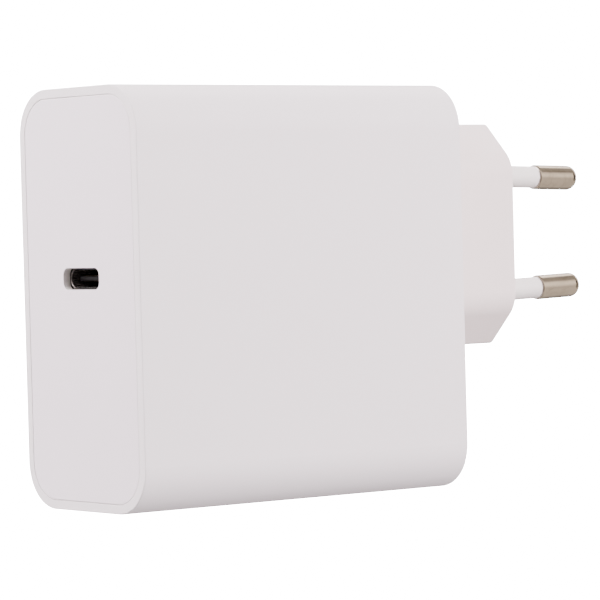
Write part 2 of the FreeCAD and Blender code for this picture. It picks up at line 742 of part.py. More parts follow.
def choke_pieces(level):
    """Common-mode choke: a ferrite ring on a base, with one winding above and one below its middle."""
    reach = derive("winding_radius", "choke_diameter / 2 + wire_layer")
    centre_y = derive("choke_y", f"board_y - base_thick - {reach} * sin(winding_angle / 2)")
    centre_z = f"({level} + {reach})"
    width = "(choke_width + 2 * wire_layer)"

    def ring_rod(name, radius, length, along):
        item = turn(rod(name, radius, length), Y_AXIS, "90")
        return place(item, along, centre_y, centre_z)

    ring = ring_rod("choke_ring", "choke_diameter / 2", "choke_width", f"{mains_x} + wire_layer")
    bore = ring_rod("choke_hole", "choke_bore / 2", width, mains_x)
    parts.append(cut("choke_core", ring, bore))
    for name, way in (("upper", 1), ("lower", -1)):
        sector = ring_rod(f"winding_{name}_outside", reach, width, mains_x)
        bind(sector, Angle="winding_angle")
        spin = FreeCAD.Rotation(X_AXIS, way * 90 - value("winding_angle / 2"))
        lie = FreeCAD.Rotation(Y_AXIS, 90)
        sector.setExpression("Placement.Rotation.Angle", None)
        sector.Placement = FreeCAD.Placement(FreeCAD.Vector(), spin * lie * FreeCAD.Rotation(Z_AXIS, 90))
        place(sector, mains_x, centre_y, centre_z)
        inside = ring_rod(f"winding_{name}_inside", "choke_bore / 2 - wire_layer", width, mains_x)
        room = ring_rod(f"winding_{name}_room", "choke_diameter / 2 + wire_gap",
                        "choke_width + 2 * wire_gap", f"{mains_x} + wire_layer - wire_gap")
        plug = ring_rod(f"winding_{name}_plug", "choke_bore / 2 - wire_gap",
                        "choke_width + 2 * wire_gap", f"{mains_x} + wire_layer - wire_gap")
        coil = cut(f"winding_{name}_coil", sector, cut(f"winding_{name}_ring", room, plug))
        parts.append(cut(f"choke_winding_{name}", coil, inside))
    parts.append(block("choke_base", mains_x, "board_y - base_thick", level, width, "base_thick",
                       f"2 * {reach}"))


def storage_column():
    """Bridge rectifier and the row of mains storage capacitors."""
    rows = spread("storage_row", "row_low_z", "row_top_z",
                  ["bridge_width"] + ["2 * bulk_radius"] * BULK_CAPACITORS)
    parts.append(leaded_block("bridge_rectifier", storage_x, rows[0], "bridge_width", "bridge_thick",
                              "bridge_height", 4, flat=False))
    for number, level in enumerate(rows[1:], 1):
        parts.append(can(f"bulk_capacitor_{number}", storage_x, level, "bulk_radius", "bulk_height"))


def transformer(level):
    """Transformer: two ferrite halves, a bobbin that carries them, its winding and the outer tape."""
    front_y = "(transformer_y - ferrite_depth / 2)"
    for name, way in (("lower", 0), ("upper", 1)):
        half = new_body("ferrite_" + name)
        outline = new_sketch(half, "XZ_Plane", f"ferrite_{name}_outline")
        left = "((ferrite_width - ferrite_leg) / 2)"
        right = "((ferrite_width + ferrite_leg) / 2)"
        meet = "(ferrite_length / 2)"
        inner = "(ferrite_width - ferrite_side)"
        polygon(outline, [("0", "0"), ("ferrite_width", "0"), ("ferrite_width", meet), (inner, meet),
                          (inner, "ferrite_yoke"), (right, "ferrite_yoke"), (right, meet), (left, meet),
                          (left, "ferrite_yoke"), ("ferrite_side", "ferrite_yoke"), ("ferrite_side", meet),
                          ("0", meet)])
        pad(half, outline, "ferrite_depth", f"ferrite_{name}_pad")
        turn(half, Y_AXIS, f"{way} * 180")
        place(half, f"{power_x} + {way} * ferrite_width", "transformer_y + ferrite_depth / 2",
              f"{level} + {way} * ferrite_length")
        parts.append(half)

    def around_leg(name, grow_x, grow_y, low, height):
        """A block round the middle leg, wider by grow_x and grow_y on each side."""
        return block(name, f"{power_x} + (ferrite_width - ferrite_leg) / 2 - {grow_x}",
                     f"{front_y} - {grow_y}", low, f"ferrite_leg + 2 * {grow_x}",
                     f"ferrite_depth + 2 * {grow_y}", height)

    low = f"({level} + ferrite_yoke + bobbin_gap)"
    height = "(ferrite_length - 2 * ferrite_yoke - 2 * bobbin_gap)"
    coil_low = f"({low} + bobbin_flange)"
    coil_height = f"({height} - 2 * bobbin_flange)"
    tube = "(bobbin_gap + bobbin_wall)"
    full = "(window_width - bobbin_gap)"
    wound = f"({full} - tape_thick)"
    pieces = [around_leg("bobbin_tube", tube, tube, low, height)]
    for name, at in (("low", low), ("top", f"{low} + {height} - bobbin_flange")):
        pieces.append(around_leg(f"bobbin_flange_{name}", full, full, at, "bobbin_flange"))
        pieces.append(block(f"bobbin_foot_{name}", f"{power_x} + ferrite_width / 2 - ferrite_leg / 2",
                            "transformer_y + winding_reach", at, "ferrite_leg", "bobbin_foot", "bobbin_flange"))
    hole = around_leg("bobbin_hole", "bobbin_gap", "bobbin_gap", low, height)
    parts.append(cut("bobbin", fuse("bobbin_solid", *pieces), hole))
    parts.append(cut("winding", around_leg("winding_solid", wound, wound, coil_low, coil_height),
                     around_leg("winding_hole", tube, tube, coil_low, coil_height)))
    parts.append(cut("winding_tape", around_leg("tape_solid", full, full, coil_low, coil_height),
                     around_leg("tape_hole", wound, wound, coil_low, coil_height)))
    parts.append(block("thermal_pad", f"{power_x} + ferrite_side + bobbin_gap", "sheet_y", low,
                       f"ferrite_leg + 2 * {full}", "transformer_y - winding_reach - sheet_y", height))


def switch_group(level):
    """Power transistor screwed against its heat sink."""
    screw_x = f"({power_x} + sink_width / 2)"
    screw_y = "(board_y - screw_level)"
    sink = block("sink_blank", power_x, "board_y - sink_height", level,
                 "sink_width", "sink_height", "sink_thick")
    package = leaded_block("package_blank", f"({power_x} + (sink_width - transistor_width) / 2)",
                           f"({level} + sink_thick)", "transistor_width", "transistor_thick",
                           "transistor_height", 3)
    for name, blank in (("heat_sink", sink), ("transistor", package)):
        hole = rod(name + "_hole", "screw_radius + screw_gap", "sink_thick + transistor_thick")
        parts.append(cut(name, blank, place(hole, screw_x, screw_y, level)))
    shank = rod("screw_shank", "screw_radius", "sink_thick + transistor_thick + screw_head_thick")
    head = rod("screw_head", "screw_head_radius", "screw_head_thick")
    place(shank, screw_x, screw_y, level)
    place(head, screw_x, screw_y, f"{level} + sink_thick + transistor_thick")
    parts.append(fuse("sink_screw", shank, head))


def power_column():
    """Transformer, power switch and the small pieces that control them."""
    rows = spread("power_row", "row_low_z", "row_top_z",
                  ["ferrite_length", "sink_thick + transistor_thick + screw_head_thick", "safety_thick",
                   "coupler_length", "control_length"])
    transformer(rows[0])
    switch_group(rows[1])
    parts.append(disc("safety_capacitor", power_x, rows[2], "safety_diameter", "safety_thick", True))
    parts.append(block("optocoupler", power_x, "board_y - coupler_height", rows[3],
                       "coupler_width", "coupler_height", "coupler_length"))
    parts.append(block("control_chip", power_x, "board_y - control_height", rows[4],
                       "control_width", "control_height", "control_length"))


def output_column():
    """Output capacitors below the receptacle's board, and the output rectifier above it."""
    rows = spread("output_row", "row_low_z", "port_board_low_z", ["2 * output_radius"] * OUTPUT_CAPACITORS)
    for number, level in enumerate(rows, 1):
        parts.append(can(f"output_capacitor_{number}", output_x, level, "output_radius", "output_height"))
    level = spread("rectifier_row", "port_level + usb_height / 2", "row_top_z",
                   ["output_sink_thick + rectifier_thick"])[0]
    parts.append(block("output_sink", output_x, "board_y - output_sink_height", level,
                       "output_sink_width", "output_sink_height", "output_sink_thick"))
    parts.append(leaded_block("output_rectifier", f"({output_x} + (output_sink_width - rectifier_width) / 2)",
                              f"({level} + output_sink_thick)", "rectifier_width", "rectifier_thick",
                              "rectifier_height", 3))


main_shell()
port_plate()
plug_foot()
pins()
contact_strips()
boards()
receptacle()
heat_path()
mains_column()
storage_column()
power_column()
output_column()
doc.recompute()

for item in doc.Objects:
    if "Invalid" in item.State or "Error" in item.State:
        raise RuntimeError(f"{item.Name} failed: {item.State}")
for part in parts:
    if part.Shape.isNull() or not part.Shape.isValid():
        raise RuntimeError(f"{part.Label} has no valid shape")
    part.Shape.exportStep(f"parts/{part.Label}.step")
print(f"{len(parts)} sub-parts written")
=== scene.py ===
import math

import bmesh
import bpy
from mathutils import Matrix, Vector


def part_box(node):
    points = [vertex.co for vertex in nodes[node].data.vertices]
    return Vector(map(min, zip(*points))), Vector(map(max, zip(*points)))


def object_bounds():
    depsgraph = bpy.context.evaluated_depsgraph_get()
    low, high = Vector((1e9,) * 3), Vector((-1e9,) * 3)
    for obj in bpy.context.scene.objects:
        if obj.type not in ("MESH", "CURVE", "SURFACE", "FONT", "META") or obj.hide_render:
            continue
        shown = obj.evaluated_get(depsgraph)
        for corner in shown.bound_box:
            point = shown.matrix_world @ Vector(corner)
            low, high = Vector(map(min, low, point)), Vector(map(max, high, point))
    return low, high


# Lengths are in metres, angles in degrees and colours in linear light, unless a name says
# otherwise.

# The photograph's camera, placed from the port face, which lies at the low end of X.
CAMERA_FROM_PORT = (-0.28210, -0.41638, 0.04172)
CAMERA_YAW = -37.791
CAMERA_PITCH = -1.294
CAMERA_ROLL = 1.561
CAMERA_NEAR = 0.01
CAMERA_FAR = 40
FOCAL_PIXELS = 3411.7
PHOTO_PIXELS = 600
SENSOR_MILLIMETRES = 36.0

# Light from all round, as (height above the horizon, strength).
SKY = [(-90, 0.70), (-60, 1.20), (-47, 1.45), (-38, 1.55), (-25, 1.65), (-11, 1.75), (3, 2.15),
       (10, 2.70), (17, 3.10), (27, 3.10), (40, 2.50), (60, 1.20), (90, 0.30)]
# Round patches where that light is weaker or stronger, as (direction, outer angle, inner angle,
# factor). The factor holds up to the inner angle and fades out at the outer one.
FLAGS = [((-0.62, -0.78, 0.00), 62, 28, 0.25),
         ((0.66, -0.22, 0.72), 25, 7, 0.42),
         ((0.82, -0.37, 0.46), 17, 7, 0.30),
         ((0.86, -0.46, 0.20), 18, 10, 0.03),
         ((0.87, -0.48, -0.12), 18, 10, 0.10),
         ((0.60, 0.76, -0.40), 45, 15, 0.30),
         ((0.67, -0.72, 0.16), 14, 4, 1.22)]
SKY_TINT = (1.0, 0.900, 0.930)
SOFTBOX_TINT = (1.0, 0.900, 0.935)
SOFTBOX_AIM = Vector((0, 0, 0.03))

# What the camera sees behind and below the object.
BACKDROP_LIGHT = 30.0
FLOOR_LIGHT = 30.0
FLOOR_RADIUS = 8.0
FLOOR_SEGMENTS = 96
FLOOR_GAP = 5e-5
PAPER_DARK = (0.78, 0.78, 0.78)
PAPER_LIGHT = (0.82, 0.82, 0.82)

# What the photograph shows of the object.
CASE_WHITE = (0.800, 0.765, 0.775)
PLATE_WHITE = (0.822, 0.762, 0.806)
FOOT_WHITE = (0.795, 0.712, 0.690)
SLEEVE_WHITE = (0.790, 0.765, 0.735)
NICKEL = (0.370, 0.315, 0.221)
NICKEL_TARNISH = (0.308, 0.261, 0.180)
# Painted shade on the pins' shoulder towards the sleeve, where it faces -X.
NICKEL_PAINTED_SHADE = (0.345, 0.318, 0.282)
PIN_EDGE = 1.2e-4
SOCKET_STEEL = (0.200, 0.185, 0.165)
SOCKET_BLACK = (0.0045, 0.0045, 0.0050)
CONTACT_GOLD = (0.060, 0.046, 0.028)

# The walls of the outlet's opening carry painted shade, darker with depth: how deep it goes, its
# colours by share of that depth, and the share over which it takes over from the face's own colour.
PAINTED_SHADE_DEPTH = 1.2e-3
PAINTED_WALL_SHADE = [(0.06, (0.810, 0.785, 0.765)), (0.25, (0.775, 0.765, 0.735)),
               (0.50, (0.630, 0.612, 0.580)), (1.0, (0.470, 0.452, 0.417))]
PAINTED_SHADE_START = 0.04

# The rim of the receptacle's mouth, with painted shade along its straight runs and a painted
# highlight at its round ends: where it fades out along X, where the highlight begins and is full,
# across from the middle, and the colours of the shade and the highlight.
RIM_DEPTH = (1.5e-4, 3.5e-4)
RIM_ENDS = (2.4e-3, 3.5e-3)
RIM_PAINTED_SHADE = (0.012, 0.012, 0.012)
RIM_PAINTED_HIGHLIGHT = (0.155, 0.145, 0.136)

# What the case hides.
BRASS = (0.72, 0.55, 0.26)
ALUMINIUM = (0.80, 0.80, 0.81)
SCREW_STEEL = (0.55, 0.55, 0.56)
TIN = (0.62, 0.61, 0.58)
LEAD_LENGTH = 2e-3
LEAD_BLUR = 1e-5
BOBBIN_BLACK = (0.020, 0.020, 0.022)
EPOXY_BLACK = (0.016, 0.016, 0.018)
FUSE_BLACK = (0.030, 0.030, 0.032)
FILM_BOX_YELLOW = (0.75, 0.52, 0.06)
VARISTOR_BLUE = (0.03, 0.11, 0.42)
THERMISTOR_GREEN = (0.02, 0.13, 0.06)
SAFETY_BLUE = (0.03, 0.13, 0.45)
LACQUER_ON_BOARD = (0.005, 0.012, 0.008)
LACQUER_ON_TRACK = (0.012, 0.028, 0.018)
LACQUER_THIN = (0.008, 0.019, 0.013)
FIBRE_DARK = (0.30, 0.24, 0.10)
FIBRE_LIGHT = (0.46, 0.38, 0.18)
FERRITE_DARK = (0.018, 0.018, 0.020)
FERRITE_LIGHT = (0.050, 0.050, 0.054)
FERRITE_GROUND = (0.10, 0.10, 0.105)
WINDING_COPPER = (0.78, 0.36, 0.16)
CHOKE_COPPER = (0.80, 0.40, 0.18)
TAPE_YELLOW = (0.80, 0.56, 0.06)
FILM_CLEAR = (0.85, 0.82, 0.74)
PAD_GREY = (0.36, 0.38, 0.42)
BULK_SLEEVE = (0.015, 0.017, 0.022)
OUTPUT_SLEEVE = (0.025, 0.050, 0.110)
CAN_STRIPE = (0.45, 0.45, 0.43)
CAN_TOP = (0.72, 0.72, 0.73)
# Shares of a can's radius between which the stripe begins at its side and the bare top ends.
CAN_SHOULDER = (0.80, 0.84)

# From ridge to ridge of the windings, and how many radians a wave texture of scale 1 turns in
# a metre.
WINDING_PITCH = 7e-4
CHOKE_PITCH = 1.4e-3
WAVE_RADIANS = 20.0

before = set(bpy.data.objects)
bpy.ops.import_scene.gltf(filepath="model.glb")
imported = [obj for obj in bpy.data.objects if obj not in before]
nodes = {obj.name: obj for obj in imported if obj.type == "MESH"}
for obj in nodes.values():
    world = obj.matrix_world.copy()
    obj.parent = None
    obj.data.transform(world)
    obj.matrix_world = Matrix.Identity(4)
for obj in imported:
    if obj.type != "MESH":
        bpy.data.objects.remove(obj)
cad_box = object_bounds()


def tint(colour, factor):
    """A colour made darker or lighter by a factor."""
    return tuple(min(1.0, part * factor) for part in colour)


def set_inputs(tree, node, values):
    """Links a node's inputs to sockets or sets them to values. An input goes by its name, with a _
    for each space, or by its number after a _. Colours come without alpha."""
    for name, amount in values.items():
        socket = node.inputs[int(name[1:]) if name[0] == "_" else name.replace("_", " ")]
        if isinstance(amount, bpy.types.NodeSocket):
            tree.links.new(amount, socket)
        elif socket.type == "RGBA":
            socket.default_value = (*amount, 1)
        else:
            socket.default_value = amount


def add_node(tree, kind, **values):
    """Adds a shader node and links or sets its inputs."""
    node = tree.nodes.new("ShaderNode" + kind)
    set_inputs(tree, node, values)
    return node


def fill_ramp(node, stops):
    """Sets the stops of a colour ramp, given as (position, colour) in rising order."""
    elements = node.color_ramp.elements
    for element, (position, colour) in zip(elements, (stops[0], stops[-1])):
        element.position = position
        element.color = (*colour, 1)
    for position, colour in stops[1:-1]:
        elements.new(position).color = (*colour, 1)


class Look:
    """A material in the making: a Principled shader and the nodes that feed it."""

    def __init__(self, name, **sockets):
        self.material = bpy.data.materials.new(name)
        self.material.use_nodes = True
        self.tree = self.material.node_tree
        self.shader = self.tree.nodes["Principled BSDF"]
        set_inputs(self.tree, self.shader, sockets)
        self.place = self.add("TexCoord").outputs["Object"]
        self.normal = None

    def add(self, kind, **values):
        return add_node(self.tree, kind, **values)

    def math(self, kind, first, second=0.0):
        node = self.add("Math", _0=first, _1=second)
        node.operation = kind
        return node.outputs[0]

    def moved(self, scale, turn=(0, 0, 0)):
        """Coordinates from a turned and stretched place. The turn is in radians."""
        return self.add("Mapping", Vector=self.place, Rotation=turn, Scale=scale).outputs[0]

    def noise(self, scale, detail=3.0, rough=0.55, where=None, warp=0.0):
        node = self.add("TexNoise", Vector=where or self.place, Scale=scale, Detail=detail,
                        Roughness=rough, Distortion=warp)
        return node.outputs["Fac"]

    def cells(self, scale, random=1.0):
        """Distance from the nearest of many scattered points."""
        node = self.add("TexVoronoi", Vector=self.place, Scale=scale, Randomness=random)
        return node.outputs["Distance"]

    def spread(self, value, low, high, start=0.3, end=0.7):
        """Carries a value from the range start to end over to low to high."""
        return self.add("MapRange", _0=value, _1=start, _2=end, _3=low, _4=high).outputs[0]

    def ramp(self, value, stops):
        """Colours by value: stops are (value, colour) pairs."""
        node = self.add("ValToRGB", Fac=value)
        fill_ramp(node, stops)
        return node.outputs["Color"]

    def mottled(self, value, colour, low, high, start=0.3, end=0.7):
        """A colour made darker or lighter by a value, from the factor low to high."""
        return self.ramp(value, [(start, tint(colour, low)), (end, tint(colour, high))])

    def blend(self, share, first, second):
        """Mixes two colours by a share."""
        node = self.add("Mix")
        node.data_type = "RGBA"
        set_inputs(self.tree, node, {"_0": share, "_6": first, "_7": second})
        return node.outputs[2]

    def axis(self, letter):
        return self.add("SeparateXYZ", Vector=self.place).outputs[letter]

    def facing(self, letter):
        """How far the surface faces along an axis, from -1 to 1."""
        normal = self.add("NewGeometry").outputs["Normal"]
        return self.add("SeparateXYZ", Vector=normal).outputs[letter]

    def edges(self, radius):
        """A mask of the sharp outer and inner edges, from their rounded normal."""
        rounded = self.add("Bevel", Radius=radius).outputs[0]
        flat = self.add("NewGeometry").outputs["True Normal"]
        likeness = self.add("VectorMath", _0=rounded, _1=flat)
        likeness.operation = "DOT_PRODUCT"
        return self.spread(likeness.outputs["Value"], 1.0, 0.0, start=0.80, end=0.99)

    def soften(self, radius):
        """Lets light run round the edges as on a moulded or machined edge."""
        self.normal = self.add("Bevel", Radius=radius).outputs[0]

    def bump(self, height, distance, strength=1.0):
        """Adds relief on top of what the normal already has."""
        node = self.add("Bump", Height=height, Distance=distance, Strength=strength)
        if self.normal:
            self.tree.links.new(self.normal, node.inputs["Normal"])
        self.normal = node.outputs[0]

    def finish(self, colour, rough=None):
        """Links what has been made to the shader and gives the material."""
        self.tree.links.new(colour, self.shader.inputs["Base Color"])
        if rough:
            self.tree.links.new(rough, self.shader.inputs["Roughness"])
        if self.normal:
            self.tree.links.new(self.normal, self.shader.inputs["Normal"])
        return self.material

    def plate_over(self, share, metal, rough):
        """Lays streaked metal over the finish, by a share."""
        streaks = self.noise(2500, where=self.moved(scale=(1, 0.08, 1)))
        over = self.add("BsdfPrincipled", Metallic=1.0, Roughness=rough,
                        Base_Color=self.mottled(streaks, metal, 0.85, 1.0))
        mix = self.add("MixShader", _0=share, _1=self.shader.outputs[0], _2=over.outputs[0])
        output = self.tree.nodes["Material Output"]
        self.tree.links.new(mix.outputs[0], output.inputs["Surface"])


def moulded(name, colour, rough=(0.32, 0.42), grain=5500, depth=3e-6, edge=1.5e-4, waves=2.5e-5,
            mouth=None):
    """White moulded plastic: spark-eroded grain, faint flow marks, dust and polished edges. An
    opening, whose mouth is given by its place along X, has painted shade on its walls, darker with
    depth."""
    look = Look(name)
    look.soften(edge)
    look.bump(look.noise(55, detail=2), waves, strength=0.6)
    look.bump(look.noise(grain, rough=0.6), depth)
    flow = look.noise(38, detail=4, rough=0.6, where=look.moved(scale=(0.5, 1, 1)), warp=0.6)
    shades = look.mottled(flow, colour, 0.985, 1.008, start=0.32, end=0.68)
    polished = look.edges(edge)
    shades = look.blend(look.math("MULTIPLY", polished, 0.25), shades, tint(colour, 1.03))
    dust = look.spread(look.noise(900, detail=5, rough=0.7), 0.0, 0.35, start=0.62, end=0.80)
    shades = look.blend(dust, shades, tint(colour, 0.97))
    # Painted shade: the walls of the opening are painted darker the deeper they lie.
    if mouth is not None:
        inward = look.spread(look.axis("X"), 0.0, 1.0, start=mouth, end=mouth + PAINTED_SHADE_DEPTH)
        painted_shade_share = look.spread(inward, 0.0, 1.0, start=0.0, end=PAINTED_SHADE_START)
        shades = look.blend(painted_shade_share, shades, look.ramp(inward, [(0.0, colour), *PAINTED_WALL_SHADE]))
    gloss = look.spread(look.noise(420, detail=5, rough=0.65), *rough)
    gloss = look.math("SUBTRACT", gloss, look.math("MULTIPLY", polished, 0.06))
    return look.finish(shades, gloss)


def nickel(name):
    """Turned and plated metal, rubbed along its length where it goes in and out of sockets. Its
    shoulder towards the sleeve, which faces -X, is painted greyer and darker as painted shade."""
    look = Look(name, Metallic=1.0)
    look.soften(PIN_EDGE)
    rubbing_and_painted_highlight = look.noise(5200, detail=4, rough=0.6, where=look.moved(scale=(0.03, 1, 1)))
    turned = look.noise(9000, detail=2, rough=0.5, where=look.moved(scale=(1, 0.02, 0.02)))
    look.bump(turned, 1.2e-6, strength=0.5)
    look.bump(rubbing_and_painted_highlight, 1.0e-6, strength=0.5)
    tarnish = look.noise(420, detail=5, rough=0.6, warp=0.8)
    shades = look.ramp(tarnish, [(0.30, NICKEL_TARNISH), (0.50, NICKEL),
                                 (0.72, tint(NICKEL, 1.06))])
    worn = look.math("MULTIPLY", look.edges(PIN_EDGE), 0.5)
    shades = look.blend(worn, shades, tint(NICKEL, 1.2))
    # Painted shade: the faces turned towards -X are painted greyer and darker.
    shoulder = look.spread(look.facing("X"), 1.0, 0.0, start=-0.9, end=-0.4)
    shades = look.blend(shoulder, shades, NICKEL_PAINTED_SHADE)
    return look.finish(shades, look.spread(rubbing_and_painted_highlight, 0.12, 0.20))


def sheet_metal(name, colour, rough=(0.25, 0.40), along=(0.05, 1, 1), metal=1.0, mouth=None):
    """Rolled sheet with fine lines along one direction and dull patches. A tube, whose mouth is given
    by its place along X, has a rim with painted shade along its straight runs and a painted highlight
    at its round ends."""
    look = Look(name, Metallic=metal)
    look.soften(8e-5)
    lines = look.noise(7000, rough=0.6, where=look.moved(scale=along))
    look.bump(lines, 1.5e-6, strength=0.6)
    shades = look.mottled(look.noise(300, detail=4, rough=0.6), colour, 0.86, 1.05)
    # Painted shade and painted highlight: the rim is painted dark along its straight runs and bright
    # at its round ends.
    if mouth is not None:
        in_rim = look.spread(look.axis("X"), 1.0, 0.0, *(mouth + depth for depth in RIM_DEPTH))
        rubbing_and_painted_highlight = look.spread(look.math("ABSOLUTE", look.axis("Y")), 0.0, 1.0, *RIM_ENDS)
        shades = look.blend(in_rim, shades, look.blend(rubbing_and_painted_highlight, RIM_PAINTED_SHADE, RIM_PAINTED_HIGHLIGHT))
    return look.finish(shades, look.spread(lines, *rough))


def black_plastic(name, colour, gloss=0.3):
    """Glass-filled black moulding with a fine matt grain."""
    look = Look(name, Specular_IOR_Level=gloss)
    look.soften(8e-5)
    look.bump(look.noise(8000, detail=4, rough=0.7), 3e-6, strength=0.8)
    flecks = look.noise(3500, detail=5, rough=0.75)
    shades = look.ramp(flecks, [(0.35, tint(colour, 0.7)), (0.60, colour),
                                (0.80, tint(colour, 2.2))])
    return look.finish(shades, look.spread(look.noise(1200), 0.38, 0.55))


def solder_mask(name, thick_axis):
    """Circuit board: dark green lacquer over copper tracks, and bare glass fibre along the cut
    edges."""
    look = Look(name, Coat_Weight=0.3, Coat_Roughness=0.15)
    grid = look.moved(scale=(1, 1, 1), turn=(math.radians(90), 0, 0))
    tracks = look.add("TexBrick", Vector=grid, Scale=260.0, Mortar_Size=0.045, Mortar_Smooth=0.1,
                      Brick_Width=0.9, Row_Height=0.35, Color1=(1, 1, 1), Color2=(0.6, 0.6, 0.6),
                      Mortar=(0, 0, 0))
    grey = look.add("RGBToBW", Color=tracks.outputs["Color"]).outputs[0]
    height = look.spread(grey, 0.0, 1.0, start=0.1, end=0.5)
    look.bump(height, 3.5e-5, strength=0.7)
    look.bump(look.noise(6000), 2e-6, strength=0.5)
    lacquer = look.blend(height, LACQUER_ON_BOARD, LACQUER_ON_TRACK)
    thin = look.spread(look.noise(500, detail=4), 0.0, 0.3)
    lacquer = look.blend(thin, lacquer, LACQUER_THIN)
    strands = look.noise(9000, detail=2, where=look.moved(scale=(0.1, 1, 0.1)))
    fibre = look.ramp(strands, [(0.3, FIBRE_DARK), (0.7, FIBRE_LIGHT)])
    flat = look.math("ABSOLUTE", look.facing(thick_axis))
    on_edge = look.spread(flat, 1.0, 0.0, start=0.4, end=0.6)
    return look.finish(look.blend(on_edge, lacquer, fibre), look.spread(look.noise(800), 0.25, 0.4))


def ferrite(name):
    """Sintered ferrite: dark grey with pores and lighter ground patches."""
    look = Look(name)
    pores = look.cells(2600)
    look.bump(pores, 2.5e-5, strength=0.5)
    look.bump(look.noise(7000, detail=4, rough=0.7), 4e-6)
    grains = look.noise(700, detail=5, rough=0.65)
    shades = look.ramp(grains, [(0.3, FERRITE_DARK), (0.7, FERRITE_LIGHT)])
    worn = look.math("MULTIPLY", look.edges(2e-4), 0.6)
    gloss = look.spread(pores, 0.45, 0.65, start=0.1, end=0.6)
    return look.finish(look.blend(worn, shades, FERRITE_GROUND), gloss)


def wound(name, colour, pitch, axis):
    """Enamelled wire laid turn beside turn: ridges across one axis, with a loose turn here and
    there."""
    look = Look(name, Metallic=1.0, Coat_Weight=0.6, Coat_Roughness=0.12)
    wave = look.add("TexWave", Vector=look.place, Scale=2 * math.pi / (WAVE_RADIANS * pitch),
                    Distortion=0.6, Detail=1.0, Detail_Roughness=0.8)
    wave.wave_profile = "SIN"
    wave.bands_direction = axis
    ridges = wave.outputs["Fac"]
    look.bump(ridges, pitch / 4, strength=0.9)
    look.bump(look.noise(4000, detail=2), 3e-6)
    # Painted shade in the grooves between turns, and a slight painted highlight on their crests.
    shades = look.ramp(ridges, [(0.0, tint(colour, 0.25)), (0.45, tint(colour, 0.85)),
                                (1.0, tint(colour, 1.1))])
    shades = look.blend(look.spread(look.noise(350), 0.0, 0.4), shades, tint(colour, 0.7))
    return look.finish(shades, look.spread(look.noise(900), 0.22, 0.36))


def tape(name, colour, clear=0.0):
    """Polyester or insulating sheet: glossy and lightly creased."""
    look = Look(name, Coat_Weight=0.3, Coat_Roughness=0.1, Transmission_Weight=clear)
    creases = look.noise(160, detail=5, rough=0.6, where=look.moved(scale=(1, 1, 0.35)), warp=1.2)
    look.bump(creases, 6e-5, strength=0.6)
    look.bump(look.noise(5000, detail=2), 1.5e-6)
    shades = look.mottled(creases, colour, 0.86, 1.06)
    return look.finish(shades, look.spread(look.noise(700), 0.2, 0.35))


def soft_pad(name, colour):
    """Silicone gap pad: matt, slightly lumpy and speckled with filler."""
    look = Look(name, Sheen_Weight=0.1)
    look.bump(look.noise(1400, detail=5, rough=0.7), 3e-5, strength=0.7)
    shades = look.mottled(look.noise(6000, rough=0.8), colour, 0.8, 1.15, start=0.4, end=0.65)
    return look.finish(shades, look.spread(look.noise(500), 0.6, 0.8))


def tin_leads(look, node):
    """Tins a node's leads, which are its last length towards the board."""
    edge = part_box(node)[1].y - LEAD_LENGTH
    share = look.spread(look.axis("Y"), 0.0, 1.0, start=edge - LEAD_BLUR, end=edge + LEAD_BLUR)
    look.plate_over(share, TIN, rough=0.28)


def package(name, colour=EPOXY_BLACK, leads_of=None):
    """Moulded epoxy package with a matt face and dimples from the mould. leads_of names the node
    whose leads are tinned, if it has any."""
    look = Look(name)
    look.soften(1.5e-4)
    look.bump(look.noise(9000, detail=4, rough=0.7), 4e-6, strength=0.9)
    look.bump(look.cells(420, random=0.2), 1e-5, strength=0.3)
    grain = look.noise(2500, detail=4, rough=0.7)
    shades = look.mottled(grain, colour, 0.75, 1.5, start=0.35, end=0.70)
    material = look.finish(shades, look.spread(look.noise(600), 0.5, 0.7))
    if leads_of:
        tin_leads(look, leads_of)
    return material


def dipped(name, node, colour):
    """Disc dipped in lacquer: thick and glossy, with runs and pinholes, on tinned leads."""
    look = Look(name, Coat_Weight=0.8, Coat_Roughness=0.08)
    look.bump(look.noise(450, detail=4, rough=0.6), 8e-5, strength=0.7)
    look.bump(look.cells(2200), 1e-5, strength=0.3)
    shades = look.mottled(look.noise(600, detail=4, rough=0.6), colour, 0.8, 1.15)
    material = look.finish(shades, look.spread(look.noise(900), 0.25, 0.4))
    tin_leads(look, node)
    return material


def can_finish(name, node, colour):
    """Capacitor can: shrunk sleeve with a light polarity stripe, and a bare aluminium top."""
    low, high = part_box(node)
    middle = (low + high) / 2
    shoulder = [(high.x - low.x) / 2 * share for share in CAN_SHOULDER]
    look = Look(name, Coat_Weight=0.4, Coat_Roughness=0.15)
    along_x = look.math("SUBTRACT", look.axis("X"), middle.x)
    along_z = look.math("SUBTRACT", look.axis("Z"), middle.z)
    off_axis = look.math("SQRT", look.math("ADD", look.math("POWER", along_x, 2.0),
                                           look.math("POWER", along_z, 2.0)))
    look.bump(look.noise(900, rough=0.6), 1e-5, strength=0.5)
    shades = look.mottled(look.noise(700, detail=4), colour, 0.8, 1.2)
    shades = look.blend(look.spread(along_x, 0.0, 1.0, *shoulder), shades, CAN_STRIPE)
    material = look.finish(shades, look.spread(look.noise(900), 0.28, 0.42))
    on_top = look.spread(look.facing("Y"), 1.0, 0.0, start=-0.9, end=-0.6)
    inside = look.spread(off_axis, 1.0, 0.0, *shoulder)
    look.plate_over(look.math("MULTIPLY", on_top, inside), CAN_TOP, rough=0.3)
    return material


